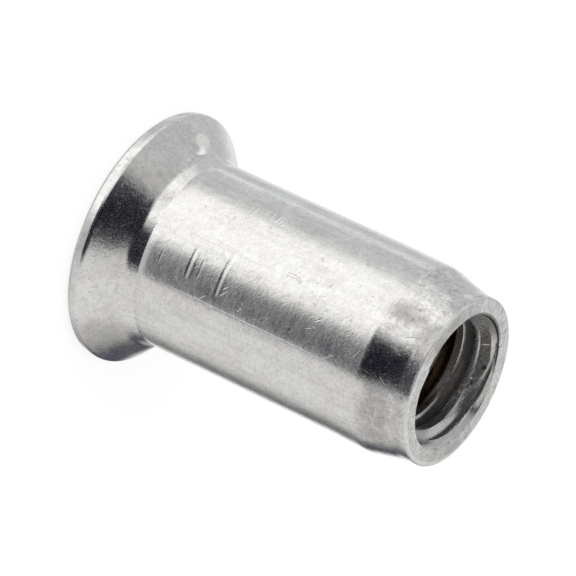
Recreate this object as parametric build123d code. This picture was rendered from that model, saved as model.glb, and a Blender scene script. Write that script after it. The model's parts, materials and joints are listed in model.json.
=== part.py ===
from build123d import *
from math import radians, tan
import os

# Countersunk open-end rivet nut for an M5 x 0.8 screw, turned and formed as one piece.
# The axis is +Z. The head's flat face lies on z = 0 and the threaded nose points up.
# The screw enters through the head, passes the counterbored sleeve, which folds up behind
# the sheet when the nut is set, and bites in the nose. All lengths are in millimetres,
# and all angles in degrees. The thread's bore is plain, at its tap-drill size.

# Screw and thread
screw_diameter = 5.0
thread_pitch = 0.8
thread_length = 5.7  # from the nose's end face down to the counterbore's drill point
mouth_clearance = 0.05  # the nose's lead-in chamfer opens this far outside the screw
mouth_chamfer_angle = 90.0

# Shank and the sleeve inside it
overall_length = 13.5
shank_wall = 1.0  # from the screw's outside to the shank's outside
counterbore_clearance = 0.3  # between the screw and the sleeve's wall
drill_point_angle = 118.0
entry_chamfer = 0.15

# Countersunk head
head_overhang = 1.25  # from the shank's outside to the head's rim
head_rim_height = 0.48
countersink_angle = 90.0
rim_foot_rounding = 0.08
rim_top_rounding = 0.38

# Neck, the short shallow cone that the heading die leaves between the head and the shank
neck_step = 0.12
neck_length = 0.4
neck_foot_rounding = 0.4
neck_shank_rounding = 1.0

# Nose
nose_length = 1.95  # from the shoulder to the end face
nose_wall = 0.68  # from the screw's outside to the foot of the end land
nose_end_wall = 0.63  # the same at the end face, because the land tapers a little
nose_land_length = 0.6
shoulder_rounding = 1.0
land_rounding = 1.0
nose_edge_rounding = 0.08

# Sizes that follow
screw_radius = screw_diameter / 2
bore_radius = (screw_diameter - thread_pitch) / 2
mouth_radius = screw_radius + mouth_clearance
counterbore_radius = screw_radius + counterbore_clearance
shank_radius = screw_radius + shank_wall
head_radius = shank_radius + head_overhang
nose_radius = screw_radius + nose_wall
nose_end_radius = screw_radius + nose_end_wall
neck_radius = shank_radius + neck_step


def cone_height(wide_radius, narrow_radius, included_angle):
    """Height of a cone between two radii."""
    return (wide_radius - narrow_radius) / tan(radians(included_angle / 2))


# Heights along the axis
neck_foot_z = head_rim_height + cone_height(head_radius, neck_radius, countersink_angle)
shank_start_z = neck_foot_z + neck_length
shoulder_z = overall_length - nose_length
land_z = overall_length - nose_land_length
thread_top_z = overall_length - cone_height(mouth_radius, bore_radius, mouth_chamfer_angle)
thread_foot_z = overall_length - thread_length
counterbore_z = thread_foot_z - cone_height(counterbore_radius, bore_radius, drill_point_angle)

# Corners of the half section, as (radius, height), each with the rounding of its edge.
# Roundings stay within the land that they sit on.
rim_foot_round = min(rim_foot_rounding, 0.4 * head_rim_height)
rim_top_round = min(rim_top_rounding, head_rim_height)
nose_edge_round = min(nose_edge_rounding, 0.4 * nose_land_length, 0.4 * (nose_end_radius - mouth_radius))
corners = [
    (counterbore_radius + entry_chamfer, 0, 0),
    (head_radius, 0, rim_foot_round),
    (head_radius, head_rim_height, rim_top_round),
    (neck_radius, neck_foot_z, neck_foot_rounding),
    (shank_radius, shank_start_z, neck_shank_rounding),
    (shank_radius, shoulder_z, shoulder_rounding),
    (nose_radius, land_z, land_rounding),
    (nose_end_radius, overall_length, nose_edge_round),
    (mouth_radius, overall_length, 0),
    (bore_radius, thread_top_z, 0),
    (bore_radius, thread_foot_z, 0),
    (counterbore_radius, counterbore_z, 0),
    (counterbore_radius, entry_chamfer, 0),
]


def half_section():
    """The turned profile on the XZ plane, with its edges rounded."""
    with BuildSketch(Plane.XZ) as section:
        with BuildLine():
            Polyline([(r, z) for r, z, _ in corners], close=True)
        make_face()
        for r, z, rounding in corners:
            if rounding > 0:
                fillet(section.vertices().sort_by_distance((r, z))[0], rounding)
    return section.sketch


def rivet_nut():
    """The whole nut, as one turned solid."""
    return revolve(half_section(), Axis.Z)


os.makedirs("parts", exist_ok=True)
export_step(rivet_nut(), "parts/rivet_nut.step")
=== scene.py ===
import json
import math
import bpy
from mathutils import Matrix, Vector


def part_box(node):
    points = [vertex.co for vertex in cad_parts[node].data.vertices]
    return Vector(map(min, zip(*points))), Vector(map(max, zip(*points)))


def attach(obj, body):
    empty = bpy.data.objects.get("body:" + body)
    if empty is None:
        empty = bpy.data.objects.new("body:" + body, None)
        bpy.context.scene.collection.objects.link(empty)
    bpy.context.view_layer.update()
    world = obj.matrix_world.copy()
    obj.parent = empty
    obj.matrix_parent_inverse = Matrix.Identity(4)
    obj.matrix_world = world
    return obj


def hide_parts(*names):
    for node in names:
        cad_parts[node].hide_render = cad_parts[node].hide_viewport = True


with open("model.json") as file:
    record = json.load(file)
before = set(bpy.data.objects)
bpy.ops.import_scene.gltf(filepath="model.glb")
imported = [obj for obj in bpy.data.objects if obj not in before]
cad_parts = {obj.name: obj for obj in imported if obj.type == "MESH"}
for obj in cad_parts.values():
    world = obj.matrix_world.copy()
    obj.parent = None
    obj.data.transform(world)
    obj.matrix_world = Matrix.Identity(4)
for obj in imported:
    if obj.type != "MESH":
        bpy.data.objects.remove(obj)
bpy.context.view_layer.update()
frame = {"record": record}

from types import SimpleNamespace

import bmesh
import bpy
import numpy as np
from mathutils import Matrix, Vector

# A countersunk open-end rivet nut that stands on its head, nose up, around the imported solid.
# Lengths in the dimensions and outlines are in millimetres; meshes are made in metres.

MM = 0.001
node_low, node_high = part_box("rivet_nut")
mounts = {mount["name"]: mount for mount in frame["record"]["mounts"]}

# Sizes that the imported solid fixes
LENGTH = (node_high.z - node_low.z) / MM
HEAD_RADIUS = node_high.x / MM
SHANK_RADIUS = mounts["shank"]["dims"]["r_mm"]
COUNTERBORE_RADIUS = mounts["counterbore"]["dims"]["r_mm"]
BORE_RADIUS = mounts["thread"]["dims"]["r_mm"]
THREAD_LENGTH = mounts["thread"]["dims"]["length_mm"]
THREAD_LOW = mounts["thread"]["pos_m"][2] / MM - THREAD_LENGTH / 2
THREAD_HIGH = THREAD_LOW + THREAD_LENGTH

# Sizes of the outline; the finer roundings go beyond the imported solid's
ENTRY_CHAMFER = 0.15
RIM_HEIGHT = 0.45
RIM_FOOT_ROUNDING = 0.17
RIM_TOP_ROUNDING = 0.22
RIM_TAPER = 0.05
HEAD_SKEW = 0.045
HEAD_SKEW_ANGLE = 40
NECK_STEP = 0.12
NECK_FOOT_ROUNDING = 0.55
NECK_GROOVE_HEIGHT = 2.03
NECK_GROOVE_DEPTH = 0.028
NOSE_LENGTH = 1.95
NOSE_RADIUS = 3.18
NOSE_TIP_RADIUS = 3.15
NOSE_LAND = 0.6
NOSE_EDGE = 0.07
NOSE_LEAN = 0.085
LEAN_START = 10
SHOULDER_ROUNDING = 1.0
MOUTH_RADIUS = 2.55
LIP_DEPTH = 0.15
LEAD_IN_SLOPE = 0.6
LIP_EDGE = 0.02
DRILL_POINT_HALF_ANGLE = math.radians(59)

# The M5 x 0.8 thread, right-hand; its crests are broad, as a forming tap leaves them
PITCH = 0.8
MAJOR_RADIUS = 2.56
MINOR_RADIUS = 2.1
CREST_SHARE = 0.375
CREST_BELOW_FACE = 0.69
GROOVE_STEPS = 14
RUN_OUT_ANGLE = math.radians(150)
RUN_OUT_HEIGHT = 0.6
RUN_OUT_RISE = 0.1

# The small raised nib on the head's cone, and the burr in the mouth's lip; angles are in degrees
NIB_ANGLE = -68
NIB_HEIGHT = 1.18
NIB_HALF_LENGTH = 0.34
NIB_HALF_WIDTH = 0.4
NIB_RISE = 0.12
BURR_REACH = 0.08
BURR_START = -1
BURR_END = 20
SWELL = 0.0015

# Fineness of the mesh
COLUMNS = 240
ROW_SPACING = 0.12
INNER_ROW_SPACING = 0.72
ARC_STEPS = 6
MERGE_DISTANCE = 0.002
SHORTEST_EDGE = 0.0005
SHARP_ANGLE = math.radians(38)


def smooth_step(x):
    x = np.clip(x, 0, 1)
    return x * x * (3 - 2 * x)


def rounded_outline(corners):
    """Points of an open outline given by (radius, height, rounding) corners."""
    points = [np.array(corners[0][:2], float)]
    for before, corner, after in zip(corners, corners[1:], corners[2:]):
        here = np.array(corner[:2], float)
        towards = np.array(before[:2]) - here
        away = np.array(after[:2]) - here
        towards /= np.linalg.norm(towards)
        away /= np.linalg.norm(away)
        half_angle = math.acos(np.clip(towards @ away, -1, 1)) / 2
        rounding = corner[2]
        if rounding == 0:
            points.append(here)
            continue
        start = here + towards * rounding / math.tan(half_angle)
        middle = (towards + away) / np.linalg.norm(towards + away)
        centre = here + middle * rounding / math.sin(half_angle)
        arm = start - centre
        turn = math.pi - 2 * half_angle
        if arm[0] * away[1] - arm[1] * away[0] < 0:
            turn = -turn
        for step in range(ARC_STEPS + 1):
            angle = turn * step / ARC_STEPS
            cos, sin = math.cos(angle), math.sin(angle)
            points.append(centre + np.array([arm[0] * cos - arm[1] * sin, arm[0] * sin + arm[1] * cos]))
    points.append(np.array(corners[-1][:2], float))
    return points


def divided(points, spacing):
    """The same outline with points no further apart than the spacing, and one close to each corner."""
    rows = [points[0]]
    for start, end in zip(points, points[1:]):
        length = np.linalg.norm(end - start)
        count = max(1, math.ceil(length / spacing))
        shares = [step / count for step in range(1, count)]
        if length > spacing:
            guard = 0.2 * spacing / length
            shares = sorted(shares + [guard, 1 - guard])
        rows += [start + (end - start) * share for share in shares]
        rows.append(end)
    return np.array(rows)


def outer_outline():
    """From the bore's entry, round the head, along the shank and over the nose to the mouth."""
    neck_radius = SHANK_RADIUS + NECK_STEP
    neck_foot = RIM_HEIGHT + HEAD_RADIUS - neck_radius
    corners = [
        (COUNTERBORE_RADIUS + ENTRY_CHAMFER, 0, 0),
        (HEAD_RADIUS - RIM_TAPER, 0, RIM_FOOT_ROUNDING),
        (HEAD_RADIUS, RIM_HEIGHT, RIM_TOP_ROUNDING),
        (neck_radius, neck_foot, NECK_FOOT_ROUNDING),
        (SHANK_RADIUS - NECK_GROOVE_DEPTH, NECK_GROOVE_HEIGHT, 0.1),
        (SHANK_RADIUS, NECK_GROOVE_HEIGHT + 0.2, 1.5),
        (SHANK_RADIUS - 0.004, 5, 9),
        (SHANK_RADIUS - 0.004, 10.6, 4),
        (SHANK_RADIUS, LENGTH - NOSE_LENGTH, SHOULDER_ROUNDING),
        (NOSE_RADIUS, LENGTH - NOSE_LAND, 1.2),
        (NOSE_TIP_RADIUS, LENGTH, NOSE_EDGE),
        (MOUTH_RADIUS, LENGTH, 0.02),
        (MOUTH_RADIUS - LIP_EDGE, LENGTH - LIP_EDGE, 0),
    ]
    return divided(rounded_outline(corners), ROW_SPACING)


def inner_outline():
    """From the counterbore's drill point down to the bore's entry."""
    cone = (COUNTERBORE_RADIUS - BORE_RADIUS) / math.tan(DRILL_POINT_HALF_ANGLE)
    corners = [
        (COUNTERBORE_RADIUS, THREAD_LOW - cone, 0),
        (COUNTERBORE_RADIUS, ENTRY_CHAMFER, 0),
        (COUNTERBORE_RADIUS + ENTRY_CHAMFER, 0, 0),
    ]
    return divided(rounded_outline(corners), INNER_ROW_SPACING)


def thread_turn():
    """Shares of one pitch at which the thread has rows, and the bore's radius at each.

    The crest is broad and very slightly hollow, and the groove between two crests is a V with a
    rounded root.
    """
    half_crest = CREST_SHARE / 2
    shares, depths = [0.0, half_crest - 0.06, half_crest - 0.02], [0.02, 0.0, 0.0]
    for step in range(1, GROOVE_STEPS):
        across = step / GROOVE_STEPS
        shares.append(half_crest + (1 - CREST_SHARE) * across)
        share = 1 - abs(2 * across - 1)
        depths.append(min(share, 1 - (1 - share) ** 2 * 0.5 - 0.04))
    shares += [1 - half_crest + 0.02, 1 - half_crest + 0.06]
    depths += [0.0, 0.0]
    return np.array(shares), MINOR_RADIUS + (MAJOR_RADIUS - MINOR_RADIUS) * np.array(depths)


def thread_grid(angles):
    """Rows that follow the helix, clipped by the mouth's lead-in and by the counterbore's drill point.

    Returns radii and heights, one row for each share of each turn, and how many rows make a turn.
    """
    shares, radii = thread_turn()
    cone = (COUNTERBORE_RADIUS - BORE_RADIUS) / math.tan(DRILL_POINT_HALF_ANGLE)
    low, high = THREAD_LOW - cone, LENGTH - LIP_EDGE
    start = LENGTH - CREST_BELOW_FACE - PITCH / 4
    start -= PITCH * math.ceil((start + PITCH - low) / PITCH)
    turns = math.ceil((high - start) / PITCH) + 1
    steps = (np.arange(turns)[:, None] + shares[None]).ravel()
    radius = np.tile(radii, turns)[:, None] + 0 * angles[None]
    height = start + PITCH * (steps[:, None] + angles[None] / (2 * math.pi))
    run_out = np.clip(np.cos(angles - RUN_OUT_ANGLE), 0, 1)
    near_face = smooth_step((height - LENGTH + RUN_OUT_HEIGHT) / 0.3)
    height = height + RUN_OUT_RISE * run_out[None] * near_face
    height = np.clip(height, low, high)
    below = LENGTH - height
    mouth = MOUTH_RADIUS - np.minimum(below, LIP_DEPTH + (below - LIP_DEPTH) * LEAD_IN_SLOPE)
    drill_point = BORE_RADIUS + (THREAD_LOW - height) * math.tan(DRILL_POINT_HALF_ANGLE)
    radius = np.maximum(radius, np.maximum(mouth, drill_point))
    radius[height >= high] = MOUTH_RADIUS - LIP_EDGE
    radius[height <= low] = COUNTERBORE_RADIUS
    return radius, height, len(shares)


def relief(points):
    """Moves the skin's points a little.

    This makes the nib under the head, the burr in the lip, the shank's slight swells, the head's skew
    and the nose's lean.
    """
    x, y, z = points.T
    radius = np.hypot(x, y)
    angle = np.degrees(np.arctan2(x, -y))
    outside = radius > SHANK_RADIUS - 0.1

    # The nib stands on the head's cone; "along" runs up the cone and "across" runs round it
    middle = (NIB_HEIGHT, RIM_HEIGHT + HEAD_RADIUS - NIB_HEIGHT)
    along = ((z - middle[0]) - (radius - middle[1])) / math.sqrt(2)
    across = np.radians(angle - NIB_ANGLE) * middle[1]
    reach = np.sqrt((along / NIB_HALF_LENGTH) ** 2 + (across / NIB_HALF_WIDTH) ** 2)
    rise = NIB_RISE * smooth_step(1.6 - reach) * outside * (z < 1.9)
    turned = np.radians(angle)
    swell = SWELL * np.sin(turned * 3 + z * 1.1) * np.sin(z * 1.7 + turned * 2)
    out = rise / math.sqrt(2) + swell * outside * smooth_step((z - 2.2) / 0.5)

    # The burr hangs into the mouth from the lip
    lip = smooth_step((z - (LENGTH - 0.12)) / 0.1) * (radius < MOUTH_RADIUS + 0.08)
    ledge = smooth_step((angle - BURR_START) / 3) * smooth_step((BURR_END - angle) / 16)
    out -= BURR_REACH * ledge * lip

    # The head's cone is a little askew, which makes the rim thicker at the front, and the nose leans
    # to one side
    on_cone = smooth_step(z / 0.3) * smooth_step((1.7 - z) / 0.5) * outside
    up = HEAD_SKEW * np.cos(np.radians(angle - HEAD_SKEW_ANGLE)) * on_cone
    lean = NOSE_LEAN * np.clip((z - LEAN_START) / (LENGTH - LEAN_START), 0, 1)
    scale = 1 + out / radius
    return np.column_stack((x * scale + lean, y * scale, z + up + rise / math.sqrt(2)))


def nut_mesh():
    """The whole nut as one closed skin: outside, mouth, helical thread, counterbore and entry."""
    angles = np.arange(COLUMNS) * 2 * math.pi / COLUMNS
    positions, faces = [], []

    def add_rows(radius, height, rise):
        """Adds a grid of rows; after a full turn each row meets the row that lies `rise` rows on."""
        first = len(positions)
        for r, z in zip(radius, height):
            positions.extend(zip(r * np.cos(angles), r * np.sin(angles), z))
        last = len(radius) - 1
        for row in range(last):
            for column in range(COLUMNS):
                column_on = (column + 1) % COLUMNS
                row_on = row if column_on else row + rise
                quad = (
                    (row, column),
                    (min(row_on, last), column_on),
                    (min(row_on + 1, last), column_on),
                    (row + 1, column),
                )
                faces.append([first + r * COLUMNS + c for r, c in quad])

    for outline in (outer_outline(), inner_outline()):
        radius = outline[:, :1] + 0 * angles[None]
        height = outline[:, 1:] + 0 * angles[None]
        add_rows(radius, height, 0)
    radius, height, rise = thread_grid(angles)
    add_rows(radius, height, rise)

    mesh = bpy.data.meshes.new("rivet_nut_body")
    work = bmesh.new()
    corners = [work.verts.new(point) for point in relief(np.array(positions)) * MM]
    for quad in faces:
        work.faces.new([corners[i] for i in dict.fromkeys(quad)])
    bmesh.ops.remove_doubles(work, verts=work.verts, dist=MERGE_DISTANCE * MM)
    bmesh.ops.dissolve_degenerate(work, edges=work.edges, dist=SHORTEST_EDGE * MM)
    bmesh.ops.recalc_face_normals(work, faces=work.faces)
    for face in work.faces:
        face.smooth = True
    work.to_mesh(mesh)
    work.free()
    mesh.set_sharp_from_angle(angle=SHARP_ANGLE)
    return mesh


class Nodes:
    """Short calls for building a node tree."""

    def __init__(self, tree):
        self.tree = tree
        tree.nodes.clear()

    def new(self, kind, **settings):
        node = self.tree.nodes.new("ShaderNode" + kind)
        for name, value in settings.items():
            setattr(node, name, value)
        return node

    def put(self, socket, value):
        """Links a socket to an output, or gives it a value."""
        if isinstance(value, bpy.types.NodeSocket):
            self.tree.links.new(value, socket)
        else:
            socket.default_value = value

    def math(self, operation, *values):
        node = self.new("Math", operation=operation)
        for socket, value in zip(node.inputs, values):
            self.put(socket, value)
        return node.outputs[0]

    def add(self, *values):
        total = values[0]
        for value in values[1:]:
            total = self.math("ADD", total, value)
        return total

    def times(self, *values):
        total = values[0]
        for value in values[1:]:
            total = self.math("MULTIPLY", total, value)
        return total

    def vector(self, operation, *values, scale=None):
        node = self.new("VectorMath", operation=operation)
        for socket, value in zip(node.inputs, values):
            self.put(socket, value)
        if scale is not None:
            self.put(node.inputs["Scale"], scale)
        return node.outputs["Value" if operation in ("DOT_PRODUCT", "LENGTH") else "Vector"]

    def ramp(self, value, low, high, to_low=0.0, to_high=1.0, kind="SMOOTHSTEP"):
        """Maps low..high to to_low..to_high, held at both ends; low may be above high.

        A smooth step holds its ends by itself. A clamp on it would be one more node for Cycles, which
        would then keep too many values at a time for one shader.
        """
        node = self.new("MapRange", interpolation_type=kind, clamp=kind == "LINEAR")
        if isinstance(low, (int, float)) and isinstance(high, (int, float)) and low > high:
            low, high, to_low, to_high = high, low, to_high, to_low
        names = ("Value", "From Min", "From Max", "To Min", "To Max")
        for name, given in zip(names, (value, low, high, to_low, to_high)):
            self.put(node.inputs[name], given)
        return node.outputs["Result"]

    def near(self, value, centre, half_width, edge):
        """1 within half_width of the centre, fading to 0 across the edge."""
        away = self.math("ABSOLUTE", self.math("SUBTRACT", value, centre))
        return self.ramp(away, half_width + edge / 2, half_width - edge / 2)

    def blend(self, share, a, b):
        """From number a to number b."""
        node = self.new("Mix", data_type="FLOAT")
        for name, given in zip(("Factor", "A", "B"), (share, a, b)):
            self.put(node.inputs[name], given)
        return node.outputs["Result"]

    def mix(self, share, a, b):
        """From colour a to colour b."""
        node = self.new("Mix", data_type="RGBA")
        sockets = [socket for socket in node.inputs if socket.type == "RGBA"]
        self.put(node.inputs["Factor"], share)
        self.put(sockets[0], a)
        self.put(sockets[1], b)
        return [socket for socket in node.outputs if socket.type == "RGBA"][0]

    def noise(self, vector, scale, detail=2.0, roughness=0.5, distortion=0.0):
        node = self.new("TexNoise")
        self.put(node.inputs["Vector"], vector)
        names = ("Scale", "Detail", "Roughness", "Distortion")
        for name, given in zip(names, (scale, detail, roughness, distortion)):
            self.put(node.inputs[name], given)
        return node.outputs["Fac"]


def nicks(n, place, cell, width, share, shift):
    """Short straight scratches, at most one a cell, each at an angle of its own."""
    moved = n.vector("ADD", place, shift)
    voronoi = n.new("TexVoronoi", voronoi_dimensions="3D", feature="F1")
    n.put(voronoi.inputs["Vector"], moved)
    voronoi.inputs["Scale"].default_value = 1 / cell
    away = n.vector("SUBTRACT", moved, voronoi.outputs["Position"])
    slant = n.vector("NORMALIZE", n.vector("SUBTRACT", voronoi.outputs["Color"], (0.5, 0.5, 0.5)))
    off_line = n.math("ABSOLUTE", n.vector("DOT_PRODUCT", away, slant))
    line = n.ramp(off_line, width, 0.0)
    ends = n.ramp(n.vector("LENGTH", away), 0.45 * cell, 0.3 * cell)
    chosen = n.new("SeparateColor")
    n.put(chosen.inputs[0], voronoi.outputs["Color"])
    return n.times(line, ends, n.math("LESS_THAN", chosen.outputs[0], share))


def brushed(n, axes, climb, along, across, shift):
    """Noise drawn out round the nut, along lines that climb as they pass the front."""
    x, y, height = axes
    moved = n.new("CombineXYZ")
    n.put(moved.inputs[0], n.add(n.times(x, along), shift))
    n.put(moved.inputs[1], n.times(y, along))
    n.put(moved.inputs[2], n.times(n.add(height, n.times(x, climb)), across))
    return n.noise(moved.outputs[0], 1.0, 2.5, 0.6)


def hairs(n, place, scale, width, shift):
    """Curly hairlines: the level lines of a noise, kept in patches."""
    moved = n.vector("ADD", place, shift)
    level = n.math("ABSOLUTE", n.math("SUBTRACT", n.noise(moved, scale, 3.0, 0.6, 0.6), 0.5))
    patches = n.ramp(n.noise(moved, 1.3 * scale, 1.0), 0.52, 0.6)
    return n.times(n.ramp(level, width, 0.0), patches)


# Strokes that the nut carries: degrees round from -Y, height, length, degrees of tilt from the
# circumference, half width and depth; a negative depth stands proud and gets a painted highlight in
# white
STROKES = (
    (4, 3.93, 1.3, 0, 0.1, 0.005),
    (4, 4.05, 1.3, 0, 0.12, -0.004),
    (5, 4.38, 0.8, 0, 0.08, 0.003),
    (2, 5.29, 1.9, 1, 0.11, 0.006),
    (2, 5.41, 1.8, 1, 0.12, -0.003),
    (8, 2.73, 0.4, 0, 0.04, 0.004),
    (12.4, 5.04, 0.4, -40, 0.018, 0.005),
    (8.6, 5.58, 0.26, 45, 0.03, 0.007),
    (12.2, 5.58, 0.42, 42, 0.022, 0.006),
    (17.3, 6.35, 0.24, 30, 0.022, 0.006),
    (23.6, 6.68, 0.28, -60, 0.02, 0.004),
    (3, 9.36, 0.36, 52, 0.03, 0.007),
    (10.7, 11.18, 0.42, 24, 0.022, 0.006),
    (-41.5, 4.91, 0.6, 0, 0.045, -0.009),
    (-44.5, 5.31, 0.3, 0, 0.04, -0.008),
    (-44.5, 5.58, 0.34, 0, 0.045, -0.009),
    (-44, 5.83, 0.44, 2, 0.055, -0.01),
    (-43.5, 5.98, 0.4, 0, 0.04, -0.009),
    (-42.5, 6.13, 0.36, 3, 0.045, -0.009),
    (-42.5, 10.25, 0.4, 17, 0.03, -0.007),
    (-61.5, 5.85, 0.28, 80, 0.03, -0.006),
    (21.8, 6.6, 7.5, 90, 0.02, -0.005),
    (-35, 11.6, 1.6, 2, 0.05, -0.009),
)


# A curly scratch with brown dirt in it, as strokes of the same kind
DIRTY_STROKES = (
    (-12.8, 7.65, 0.46, 88, 0.02, 0.003),
    (-12.4, 8.0, 0.34, -69, 0.026, 0.004),
    (-14.6, 7.62, 0.3, 85, 0.016, 0.003),
    (-14.5, 7.86, 0.3, -84, 0.018, 0.003),
    (-13.5, 8.03, 0.24, -56, 0.022, 0.003),
)


def strokes(n, at, table):
    """The relief of a table's strokes in millimetres, and where the cut and the raised ones lie.

    The three are summed as one vector, so that the shader holds few values at a time.
    """
    total = (0.0, 0.0, 0.0)
    for angle, middle, length, tilt, half_width, depth in table:
        across = n.math("SUBTRACT", at.height, middle)
        along = n.math("SUBTRACT", at.arc, math.radians(angle) * SHANK_RADIUS)
        cos, sin = math.cos(math.radians(tilt)), math.sin(math.radians(tilt))
        run = n.math("ABSOLUTE", n.add(n.times(along, cos), n.times(across, -sin)))
        off = n.math("ABSOLUTE", n.add(n.times(along, sin), n.times(across, cos)))
        line = n.times(n.ramp(off, half_width, 0.0), n.ramp(run, length / 2, length / 3))
        marks = (-depth, float(depth > 0), float(depth < 0))
        total = n.vector("ADD", total, n.vector("SCALE", marks, scale=line))
    sums = n.new("SeparateXYZ")
    n.put(sums.inputs[0], total)
    stroke_relief, cut, raised = sums.outputs
    return stroke_relief, n.math("MINIMUM", cut, 1.0), n.math("MINIMUM", raised, 1.0)


# Small spots in the mouth: degrees round from -Y, height, half length round, half height; the last dark
# one is a long painted shadow line round the lip
DARK_SPOTS_AND_SHADOW_LINE = (
    (-160, 13.17, 0.14, 0.07),
    (-138.6, 13.46, 0.05, 0.06),
    (-177, 12.97, 0.08, 0.05),
    # painted shadow: a long dark line round the lip
    (-118, 13.45, 2.9, 0.035),
)
LIGHT_SPOTS = (
    (-173, 12.9, 0.06, 0.03),
    (-136, 13.12, 0.03, 0.12),
)


def from_middle(n, at, angle, middle, half_length, half_height):
    """How far a place is from the middle of a long spot, as a share of the spot's half sizes."""
    across = n.times(n.math("SUBTRACT", at.height, middle), 1 / half_height)
    along = n.times(n.math("SUBTRACT", at.arc, math.radians(angle) * SHANK_RADIUS), 1 / half_length)
    return n.math("SQRT", n.add(n.times(across, across), n.times(along, along)))


def spots(n, at, table):
    """Where the spots of a table lie."""
    total = 0.0
    for spot in table:
        total = n.math("MAXIMUM", total, n.ramp(from_middle(n, at, *spot), 1.2, 0.7))
    return total


# Dull stained patches, and at 97 degrees a painted shade on the neck where the head hides the light:
# degrees round from -Y, height, half length round, half height, strength
STAINS_AND_SHADE = (
    (-17, 13.25, 0.85, 0.45, 0.45),
    (-24, 12.35, 0.5, 0.7, 0.3),
    (46, 12.3, 1.7, 0.65, 0.36),
    (46, 13.1, 1.6, 0.3, 0.2),
    (66, 0.9, 0.7, 0.7, 0.3),
    # painted shade: the neck darkened where the head's cone hides the light
    (97, 1.6, 1.0, 0.5, 0.6),
    (-45, 13.8, 1.4, 0.38, 0.5),
    (128, 13.8, 2.0, 0.4, 0.45),
)


def stains_and_shade(n, at):
    """How dull the metal is: soft stained patches with ragged edges, one of them painted shade on the
    neck under the head.
    """
    ragged = n.noise(at.place, 2.2, 3.0, 0.6)
    total = 0.0
    for *stain_and_shade, strength in STAINS_AND_SHADE:
        edge = n.add(from_middle(n, at, *stain_and_shade), n.times(ragged, 1.2), -0.6)
        total = n.math("MAXIMUM", total, n.ramp(edge, 1.5, 0.35, 0.0, strength))
    return total


def nib_spot(n, at):
    """Where the nib's top lies, as on the relief; it gets a painted highlight in dull white."""
    middle = RIM_HEIGHT + HEAD_RADIUS - NIB_HEIGHT
    up_cone = n.add(at.height, n.times(at.radius, -1.0), middle - NIB_HEIGHT)
    along = n.times(up_cone, math.sqrt(0.5) / NIB_HALF_LENGTH)
    across = n.add(n.times(at.arc, middle / SHANK_RADIUS), -math.radians(NIB_ANGLE) * middle)
    across = n.times(across, 1 / NIB_HALF_WIDTH)
    away = n.math("SQRT", n.add(n.times(along, along), n.times(across, across)))
    on_head = n.ramp(at.height, 1.9, 1.8)
    return n.times(n.ramp(away, 1.1, 0.7), on_head)


# Colours of the outside, among them a painted shade and painted highlight whites
DULL_METAL = (0.92, 0.915, 0.9, 1)
CLEAN_METAL = (0.985, 0.985, 0.98, 1)
SPECK = (0.42, 0.36, 0.31, 1)
MOTTLE = (0.6, 0.6, 0.62, 1)
RUST = (0.5, 0.4, 0.33, 1)
DRAWN_LINE = (0.55, 0.55, 0.57, 1)
CURL = (0.42, 0.41, 0.43, 1)
CUT = (0.3, 0.27, 0.25, 1)
DIRT = (0.27, 0.22, 0.18, 1)
RAISED_STROKE_HIGHLIGHT = (1.0, 1.0, 0.99, 1)
STAIN_AND_SHADE_COLOUR = (0.2, 0.19, 0.18, 1)
HIGHLIGHT_WHITE = (0.95, 0.94, 0.915, 1)

# Colours of the mouth and the bore, among them painted shades and a painted highlight
DEEP_OIL = (0.30, 0.24, 0.18, 1)
THIN_OIL = (0.68, 0.68, 0.685, 1)
PAINTED_FLANK_SHADE = (0.3, 0.3, 0.32, 1)
DARK_CRUST = (0.14, 0.135, 0.13, 1)
PALE_CRUST = (0.5, 0.49, 0.48, 1)
PAINTED_CRUST_SHADE = (0.07, 0.067, 0.063, 1)
PAINTED_CREST_HIGHLIGHT = (0.86, 0.84, 0.8, 1)
DULL_LIP = (0.68, 0.65, 0.62, 1)
BRIGHT_LIP = (0.92, 0.9, 0.87, 1)
PAINTED_LIP_SHADE = (0.1, 0.097, 0.094, 1)
SPOT_AND_SHADOW_BLACK = (0.03, 0.03, 0.03, 1)
WHITE = (1.0, 1.0, 1.0, 1)


def places(n):
    """Where a point of the surface is, in millimetres: round, up and out from the nut's axis."""
    at = SimpleNamespace()
    at.place = n.vector("SCALE", n.new("TexCoord").outputs["Object"], scale=1 / MM)
    axes = n.new("SeparateXYZ")
    n.put(axes.inputs[0], at.place)
    at.axes = axes.outputs
    at.x, at.y, at.height = axes.outputs
    at.radius = n.math("SQRT", n.add(n.times(at.x, at.x), n.times(at.y, at.y)))
    at.arc = n.times(n.math("ARCTAN2", at.x, n.times(at.y, -1.0)), SHANK_RADIUS)
    at.below = n.math("SUBTRACT", LENGTH, at.height)
    return at


def mouth_zones(n, at):
    """The parts of the mouth: all inside it, its lip, the thread's crests and their edges, where a
    highlight is painted.
    """
    inside = n.ramp(at.radius, MOUTH_RADIUS + 0.02, MOUTH_RADIUS - 0.04)
    sloped = n.add(n.times(at.below, LEAD_IN_SLOPE), LIP_DEPTH * (1 - LEAD_IN_SLOPE))
    lead_in = n.add(at.radius, n.math("MINIMUM", at.below, sloped), -MOUTH_RADIUS)
    lead_in = n.ramp(lead_in, 0.025, 0.01)
    lip = n.times(lead_in, n.ramp(at.below, 0.24, 0.2), inside)
    crest = n.ramp(at.radius, MINOR_RADIUS + 0.03, MINOR_RADIUS + 0.012)
    crest = n.math("MAXIMUM", crest, lead_in)
    in_thread = n.ramp(at.height, THREAD_LOW, THREAD_LOW + 0.1)
    crest = n.times(crest, n.ramp(at.below, 0.2, 0.24), inside, in_thread)
    crest_edge_highlight = n.ramp(at.radius, MINOR_RADIUS + 0.004, MINOR_RADIUS + 0.0005)
    crest_edge_highlight = n.times(crest, crest_edge_highlight, n.ramp(at.below, 2.6, 1.2))
    crest = n.math("SUBTRACT", crest, n.times(crest_edge_highlight, 0.8))
    return SimpleNamespace(inside=inside, lip=lip, crest=crest, crest_edge_highlight=crest_edge_highlight)


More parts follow.
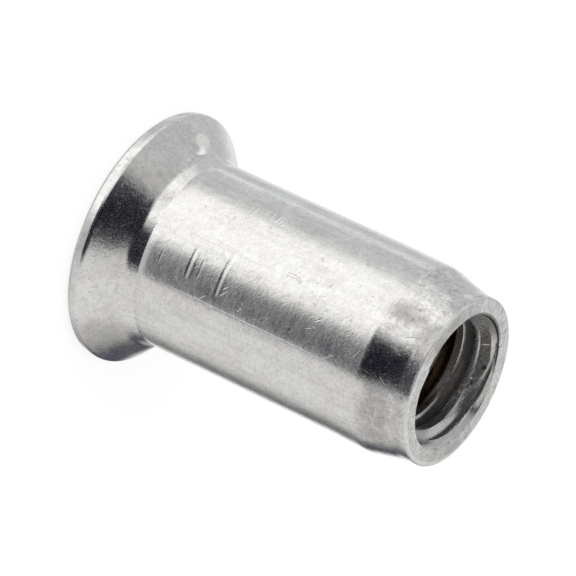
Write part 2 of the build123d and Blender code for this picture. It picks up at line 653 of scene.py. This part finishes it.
def marks(n, at):
    """The noises, scratches and strokes that make the relief and part of the colour."""
    place = at.place
    found = SimpleNamespace()
    found.grain = n.noise(place, 7.0, 4.0, 0.62)
    found.fine_grain = n.noise(place, 17.0, 2.0, 0.6)
    found.dimples = n.noise(place, 2.4, 2.0, 0.5)
    found.blotches = n.noise(place, 0.9, 3.0, 0.55)
    found.brush = n.add(
        brushed(n, at.axes, 0.45, 3.4, 15.0, 0.0),
        brushed(n, at.axes, -0.2, 3.0, 13.0, 31.0),
        brushed(n, at.axes, 1.1, 2.6, 9.0, 57.0),
    )
    found.ripple = brushed(n, at.axes, 0.0, 0.12, 1.2, 11.0)
    found.dense = nicks(n, place, 0.2, 0.02, 0.6, (0, 0, 0))
    found.coarse = nicks(n, place, 0.6, 0.018, 0.25, (3.1, 7.7, 1.3))
    found.curls = hairs(n, place, 2.6, 0.014, (0, 0, 0))
    found.small_curls = hairs(n, place, 5.5, 0.03, (4.0, 9.0, 2.0))
    found.stroke_relief, found.cut, found.raised = strokes(n, at, STROKES)
    found.dirt_relief, found.dirt, _ = strokes(n, at, DIRTY_STROKES)
    return found


def relief_height(n, found):
    """The height of the surface's fine relief, in millimetres: each mark by its depth."""
    wear = n.add(
        n.times(found.dense, 0.0007),
        n.times(found.coarse, 0.0026),
        n.times(found.curls, 0.0012),
    )
    return n.add(
        n.times(found.grain, 0.0034),
        n.times(found.fine_grain, 0.0006),
        n.times(found.brush, 0.001),
        n.times(found.dimples, 0.004),
        n.times(wear, -1.0),
        found.stroke_relief,
        found.dirt_relief,
        n.times(found.ripple, 0.008),
    )


def painted_highlight_marks(n, at, grain):
    """Painted highlights as dull white marks: on the nib's top, along the nose's outer edge and as a
    line on its shoulder.
    """
    edge = n.ramp(n.add(at.height, n.times(grain, 0.16)), LENGTH - 0.03, LENGTH + 0.02)
    rubbing_and_sheen = n.ramp(at.radius, NOSE_TIP_RADIUS - 0.12, NOSE_TIP_RADIUS - 0.06)
    edge = n.times(edge, rubbing_and_sheen, 0.6)
    wavy_height = n.add(at.height, n.times(grain, 0.12))
    shoulder = n.near(wavy_height, LENGTH - NOSE_LENGTH + 0.12, 0.03, 0.05)
    shoulder = n.times(shoulder, n.near(at.arc, -3.45, 0.6, 0.5), 0.8)
    return n.math("MAXIMUM", n.math("MAXIMUM", nib_spot(n, at), edge), shoulder)


def outside_colour(n, at, found, stain_and_shade, white):
    """Bright aluminium with mottling, specks, scratches and stained patches, painted shade on the neck
    under the head, and painted highlights in white on the raised strokes, the nib's top, the nose's
    edge and a line on its shoulder.
    """
    place = at.place
    colour = n.mix(n.ramp(found.blotches, 0.35, 0.65), DULL_METAL, CLEAN_METAL)
    specks = n.ramp(n.noise(place, 5.5, 2.0), 0.67, 0.74)
    colour = n.mix(n.times(specks, 0.45), colour, SPECK)
    on_nose = n.ramp(at.height, 11.3, 11.9)
    mottle = n.ramp(n.noise(place, 3.2, 4.0, 0.7, 1.2), 0.43, 0.57)
    colour = n.mix(n.times(mottle, n.ramp(on_nose, 0.0, 1.0, 0.2, 0.54)), colour, MOTTLE)
    rusty = n.times(n.ramp(n.noise(place, 4.3, 3.0, 0.65), 0.56, 0.66), on_nose)
    colour = n.mix(n.times(rusty, 0.52), colour, RUST)
    drawn = n.noise(n.vector("MULTIPLY", place, (5.0, 5.0, 0.5)), 1.0, 2.0)
    colour = n.mix(n.ramp(drawn, 0.48, 0.66, 0.0, 0.2), colour, DRAWN_LINE)
    curls = n.add(n.times(found.curls, 0.2), n.times(found.small_curls, 0.16))
    colour = n.mix(curls, colour, CURL)
    colour = n.mix(n.times(found.cut, 0.1), colour, CUT)
    colour = n.mix(n.times(found.dirt, 0.62), colour, DIRT)
    # painted highlight: the raised strokes are coloured white to stand for their glints
    colour = n.mix(found.raised, colour, RAISED_STROKE_HIGHLIGHT)
    # stained patches, and painted shade on the neck under the head
    colour = n.mix(stain_and_shade, colour, STAIN_AND_SHADE_COLOUR)
    # painted highlights: dull white on the nib's top, the nose's edge and the shoulder line
    return n.mix(white, colour, HIGHLIGHT_WHITE)


def inside_colour(n, at, zones, grain):
    """Flanks with oil and painted shade on the +X side, crusted crests with painted shade on the far
    side and painted highlights on their edges, the lip with painted shade on its -X side, and spots,
    one a painted shadow line.
    """
    bore_colour = n.mix(n.ramp(at.below, 2.0, 1.1), DEEP_OIL, THIN_OIL)
    # painted shade: the flanks on the +X side of the mouth are darkened
    flank_shade_side = n.times(n.ramp(at.x, 0.5, 1.5), n.ramp(at.below, 0.3, 0.4), 0.5)
    bore_colour = n.mix(flank_shade_side, bore_colour, PAINTED_FLANK_SHADE)
    rubbing_and_sheen = n.noise(at.place, 10.0, 3.0, 0.6)
    crust_and_shade = n.mix(n.ramp(rubbing_and_sheen, 0.36, 0.64), DARK_CRUST, PALE_CRUST)
    # painted shade: the crests on the far side of the mouth are darkened towards black
    shaded = n.times(n.ramp(at.below, 0.62, 0.5), n.ramp(at.y, 0.6, 1.4), n.ramp(at.x, 0.6, -0.6))
    crust_and_shade = n.mix(n.times(shaded, 0.7), crust_and_shade, PAINTED_CRUST_SHADE)
    bore_colour = n.mix(n.times(zones.crest, n.ramp(at.below, 2.4, 1.0)), bore_colour, crust_and_shade)
    # painted highlight: the crests' edges are coloured bright
    bore_colour = n.mix(n.times(zones.crest_edge_highlight, 0.7), bore_colour, PAINTED_CREST_HIGHLIGHT)
    lip_colour_and_shade = n.mix(n.ramp(grain, 0.3, 0.62), DULL_LIP, BRIGHT_LIP)
    # painted shade: the lip darkened on its -X side
    lip_colour_and_shade = n.mix(n.ramp(at.x, -1.6, -2.2, 0.0, 0.72), lip_colour_and_shade, PAINTED_LIP_SHADE)
    bore_colour = n.mix(zones.lip, bore_colour, lip_colour_and_shade)
    # dark spots, and a painted shadow line round the lip
    bore_colour = n.mix(spots(n, at, DARK_SPOTS_AND_SHADOW_LINE), bore_colour, SPOT_AND_SHADOW_BLACK)
    return n.mix(spots(n, at, LIGHT_SPOTS), bore_colour, WHITE)


def nut_metal():
    """Bright tumbled aluminium, finely scratched outside and with oil in the bore; shade and highlights
    are painted on in places.
    """
    material = bpy.data.materials.new("nut_metal")
    material.use_nodes = True
    n = Nodes(material.node_tree)
    out = n.new("OutputMaterial")
    shader = n.new("BsdfPrincipled")
    n.put(out.inputs["Surface"], shader.outputs["BSDF"])
    at = places(n)
    zones = mouth_zones(n, at)
    found = marks(n, at)

    bump = n.new("Bump")
    bump.inputs["Strength"].default_value = 1.0
    bump.inputs["Distance"].default_value = MM
    n.put(bump.inputs["Height"], relief_height(n, found))
    n.put(shader.inputs["Normal"], bump.outputs["Normal"])

    stain_and_shade = n.times(stains_and_shade(n, at), n.math("SUBTRACT", 1.0, zones.inside))
    white = painted_highlight_marks(n, at, found.grain)
    outer = outside_colour(n, at, found, stain_and_shade, white)
    inner = inside_colour(n, at, zones, found.grain)
    fine_shade = n.ramp(found.fine_grain, 0.3, 0.7, 0.9, 1.06, "LINEAR")
    brush_shade = n.ramp(found.brush, 1.1, 1.9, -0.08, 0.07, "LINEAR")
    shade = n.add(fine_shade, brush_shade)
    colour = n.vector("SCALE", n.mix(zones.inside, outer, inner), scale=shade)
    n.put(shader.inputs["Base Color"], colour)

    rugged = n.math("MAXIMUM", zones.crest, zones.lip)
    flanks = n.times(zones.inside, n.ramp(at.below, 2.2, 1.2), 0.1)
    dull = n.math("MAXIMUM", n.times(rugged, 0.5), n.times(white, 0.8))
    dull = n.math("MAXIMUM", dull, flanks)
    n.put(shader.inputs["Metallic"], n.math("SUBTRACT", 1.0, dull))
    rough = n.add(
        n.ramp(found.blotches, 0.3, 0.7, 0.14, 0.21),
        n.ramp(found.fine_grain, 0.42, 0.7, 0.0, 0.08),
        n.times(rugged, 0.35),
        n.times(stain_and_shade, 0.15),
    )
    n.put(shader.inputs["Roughness"], rough)
    return material


# The studio as the metal sees it. Degrees round the nut from the camera's side (-Y) towards +X, and
# degrees above the horizon: centre, half width, lowest, highest, soft edge, brightness
PANELS = (
    (-100, 55, 12, 75, 30, 0.51),
    (79, 36, -40, 60, 30, 0.7),
    (-36, 42, -60, 20, 26, 1.07),
    (-45, 8, -20, 12, 10, 0.72),
    (-86, 10, -12, 4, 10, 0.85),
    (180, 30, 12, 40, 14, 0.63),
    (-126, 3, -36, -20, 7, 0.95),
    (-148, 36, 36, 68, 14, 1.0),
    (147, 16, -32, 12, 22, 0.07),
    (165, 9, -16, 8, 10, 0.05),
    (180, 24, -50, -18, 14, 0.95),
    (-172, 14, -34, -5, 14, 0.85),
)

# Brightness of the rest of the studio, of the floor's side and of the dark gap
BASE_LIGHT = 0.57
FLOOR_LIGHT = 0.54
GAP_LIGHT = 0.013


def studio_world():
    """A pale studio: white to the camera; to the metal, soft panels with one dark gap in front."""
    world = bpy.data.worlds.new("studio")
    world.use_nodes = True
    world.cycles.sampling_method = "NONE"
    n = Nodes(world.node_tree)
    out = n.new("OutputWorld")
    axes = n.new("SeparateXYZ")
    n.put(axes.inputs[0], n.new("TexCoord").outputs["Generated"])
    x, y, z = axes.outputs
    azimuth = n.math("DEGREES", n.math("ARCTAN2", x, n.times(y, -1.0)))
    elevation = n.math("DEGREES", n.math("ARCSINE", z))

    light = n.blend(n.ramp(elevation, -32, -40), BASE_LIGHT, FLOOR_LIGHT)
    for centre, half_width, lowest, highest, edge, brightness in PANELS:
        turned = n.math("WRAP", n.math("SUBTRACT", azimuth, centre), 180.0, -180.0)
        across = n.near(turned, 0.0, half_width, edge)
        upward = n.near(elevation, (lowest + highest) / 2, (highest - lowest) / 2, edge)
        light = n.blend(n.times(across, upward), light, brightness)

    # The dark gap leans back on its left as it rises, but for a small step forward near the horizon,
    # and meets a dark patch overhead
    left = n.add(
        n.ramp(elevation, -28, -17, 6.5, -13, "LINEAR"),
        n.ramp(elevation, 8, 55, 0, -44, "LINEAR"),
        n.ramp(elevation, 1, 5, 0, 4, "LINEAR"),
    )
    right = n.ramp(elevation, -28, 58, 45.5, 37, "LINEAR")
    into_gap = n.math("SUBTRACT", azimuth, left)
    from_left = n.ramp(into_gap, -10, 10)
    from_right = n.ramp(n.math("SUBTRACT", right, azimuth), -3, 3)
    gap = n.times(from_left, from_right, n.ramp(elevation, -45, -20))
    overhead = n.ramp(elevation, 68, 75)
    veil = n.times(n.ramp(into_gap, 32, 8), n.ramp(elevation, -22, -27), 0.09)
    light = n.blend(n.math("MAXIMUM", gap, overhead), light, n.add(veil, GAP_LIGHT))
    pale = n.mix(n.ramp(azimuth, -75, -100), (1.0, 0.99, 0.97, 1), (0.99, 1.0, 1.005, 1))
    studio = n.mix(n.ramp(light, 0.0, 0.2), (1.0, 1.02, 1.6, 1), pale)
    seen = n.vector("SCALE", studio, scale=light)

    path = n.new("LightPath")
    white, reflected, ambient = (n.new("Background") for _ in range(3))
    white.inputs["Color"].default_value = (1, 1, 1, 1)
    n.put(reflected.inputs["Color"], seen)
    ambient.inputs["Color"].default_value = (0.7, 0.7, 0.7, 1)
    mirrored = n.math("MAXIMUM", path.outputs["Is Glossy Ray"], path.outputs["Is Transmission Ray"])
    indirect, all_rays = n.new("MixShader"), n.new("MixShader")
    n.put(indirect.inputs[0], mirrored)
    n.put(indirect.inputs[1], ambient.outputs[0])
    n.put(indirect.inputs[2], reflected.outputs[0])
    n.put(all_rays.inputs[0], path.outputs["Is Camera Ray"])
    n.put(all_rays.inputs[1], indirect.outputs[0])
    n.put(all_rays.inputs[2], white.outputs[0])
    n.put(out.inputs["Surface"], all_rays.outputs[0])
    bpy.context.scene.world = world


def floor():
    """A pale floor that keeps the nut's soft shadow, and glows for the camera."""
    half = 1.5
    just_below = -0.00002
    corners = [(-half, -half, 0), (half, -half, 0), (half, half, 0), (-half, half, 0)]
    mesh = bpy.data.meshes.new("floor")
    mesh.from_pydata(corners, [], [(0, 1, 2, 3)])
    plane = bpy.data.objects.new("floor", mesh)
    bpy.context.scene.collection.objects.link(plane)
    plane.location.z = just_below
    material = bpy.data.materials.new("floor")
    material.use_nodes = True
    n = Nodes(material.node_tree)
    out = n.new("OutputMaterial")
    matt = n.new("BsdfDiffuse")
    matt.inputs["Color"].default_value = (0.5, 0.5, 0.5, 1)
    glow = n.new("Emission")
    path = n.new("LightPath")
    seen = n.math("MAXIMUM", path.outputs["Is Camera Ray"], path.outputs["Is Glossy Ray"])
    seen = n.math("MAXIMUM", seen, path.outputs["Is Transmission Ray"])
    n.put(glow.inputs["Strength"], n.math("MULTIPLY", seen, 0.66))
    both = n.new("AddShader")
    n.put(both.inputs[0], matt.outputs[0])
    n.put(both.inputs[1], glow.outputs[0])
    n.put(out.inputs["Surface"], both.outputs[0])
    mesh.materials.append(material)
    plane.visible_glossy = False
    return plane


def camera():
    """A long lens at the nut's front, 27 degrees up, rolled so that the nose points right and down."""
    elevation = math.radians(27.19)
    roll = math.radians(115.16)
    distance = 175.3 * MM
    aim = Vector((-0.386, 0, 5.995)) * MM
    back = Vector((0, -math.cos(elevation), math.sin(elevation)))
    data = bpy.data.cameras.new("camera")
    data.sensor_width = 36
    data.lens = 312.09
    data.clip_start, data.clip_end = 0.01, 10
    lens = bpy.data.objects.new("camera", data)
    bpy.context.scene.collection.objects.link(lens)
    upright = back.to_track_quat("Z", "Y").to_matrix()
    turned = upright @ Matrix.Rotation(roll, 3, "Z")
    lens.matrix_world = Matrix.Translation(aim + back * distance) @ turned.to_4x4()
    bpy.context.scene.camera = lens


def lamp():
    """One soft lamp for the shadow."""
    data = bpy.data.lights.new("lamp", "AREA")
    data.size = 0.12
    data.energy = 0.05
    light = bpy.data.objects.new("lamp", data)
    bpy.context.scene.collection.objects.link(light)
    light.location = (-0.08, -0.1, 0.18)
    light.rotation_euler = (Vector((0, 0, 0)) - light.location).to_track_quat("-Z", "Y").to_euler()
    light.visible_glossy = False


nut = bpy.data.objects.new("nut", nut_mesh())
bpy.context.scene.collection.objects.link(nut)
nut.data.materials.append(nut_metal())
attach(nut, "root")
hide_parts("rivet_nut")

studio_world()
floor()
lamp()
camera()
bpy.context.scene.view_settings.view_transform = "Standard"
